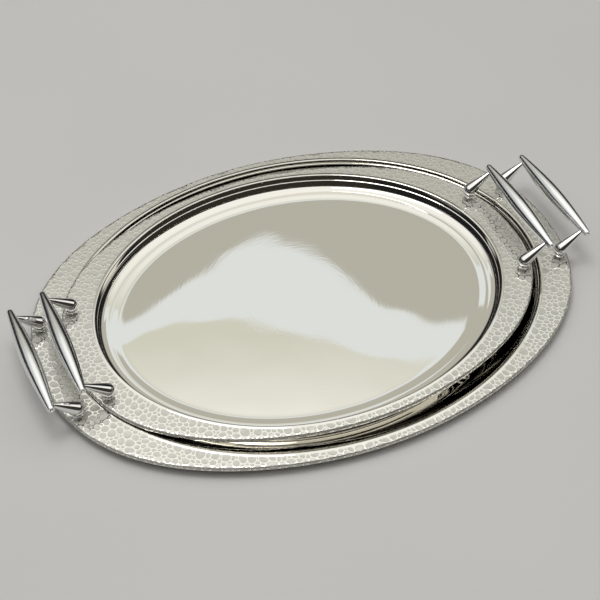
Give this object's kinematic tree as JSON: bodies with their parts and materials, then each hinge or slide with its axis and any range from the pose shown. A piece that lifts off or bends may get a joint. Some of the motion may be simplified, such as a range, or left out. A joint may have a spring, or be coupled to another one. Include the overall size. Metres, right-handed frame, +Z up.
{
  "type": "serving tray set",
  "caption": "Nested oval serving trays in polished steel, each with a scale-etched rim and spindle-shaped end handles; the smaller lifts out of the larger.",
  "frame": {"origin": "on the surface that the large tray stands on, under the middle of its base", "axes": "+X from the left handle to the right handle, +Y across the tray to its back, +Z up"},
  "size_m": [0.6102, 0.419, 0.0575],
  "materials": {
    "polished_steel": "mirror-polished well, finely etched scale pattern on the rim",
    "satin_chrome": "bright chrome with fine streaks along the bar",
    "chrome": "mirror-bright chrome",
    "plain_steel": "plain zinc-plated steel"
  },
  "bodies": {
    "large_tray": {"large_body": "polished_steel", "large_left_bar": "satin_chrome", "large_left_post_front": "chrome", "large_left_collar_front": "chrome", "large_left_pin_front": "plain_steel", "large_left_washer_front": "plain_steel", "large_left_screw_front": "plain_steel", "large_left_post_back": "chrome", "large_left_collar_back": "chrome", "large_left_pin_back": "plain_steel", "large_left_washer_back": "plain_steel", "large_left_screw_back": "plain_steel", "large_right_bar": "satin_chrome", "large_right_post_front": "chrome", "large_right_collar_front": "chrome", "large_right_pin_front": "plain_steel", "large_right_washer_front": "plain_steel", "large_right_screw_front": "plain_steel", "large_right_post_back": "chrome", "large_right_collar_back": "chrome", "large_right_pin_back": "plain_steel", "large_right_washer_back": "plain_steel", "large_right_screw_back": "plain_steel"},
    "small_tray": {"small_body": "polished_steel", "small_left_bar": "satin_chrome", "small_left_post_front": "chrome", "small_left_collar_front": "chrome", "small_left_pin_front": "plain_steel", "small_left_washer_front": "plain_steel", "small_left_screw_front": "plain_steel", "small_left_post_back": "chrome", "small_left_collar_back": "chrome", "small_left_pin_back": "plain_steel", "small_left_washer_back": "plain_steel", "small_left_screw_back": "plain_steel", "small_right_bar": "satin_chrome", "small_right_post_front": "chrome", "small_right_collar_front": "chrome", "small_right_pin_front": "plain_steel", "small_right_washer_front": "plain_steel", "small_right_screw_front": "plain_steel", "small_right_post_back": "chrome", "small_right_collar_back": "chrome", "small_right_pin_back": "plain_steel", "small_right_washer_back": "plain_steel", "small_right_screw_back": "plain_steel"}
  },
  "joints": [
    {"name": "lift_small_tray", "type": "slide", "parent": "large_tray", "child": "small_tray", "axis": [0, 0, 1], "range_m": [0, 0.12]}
  ]
}
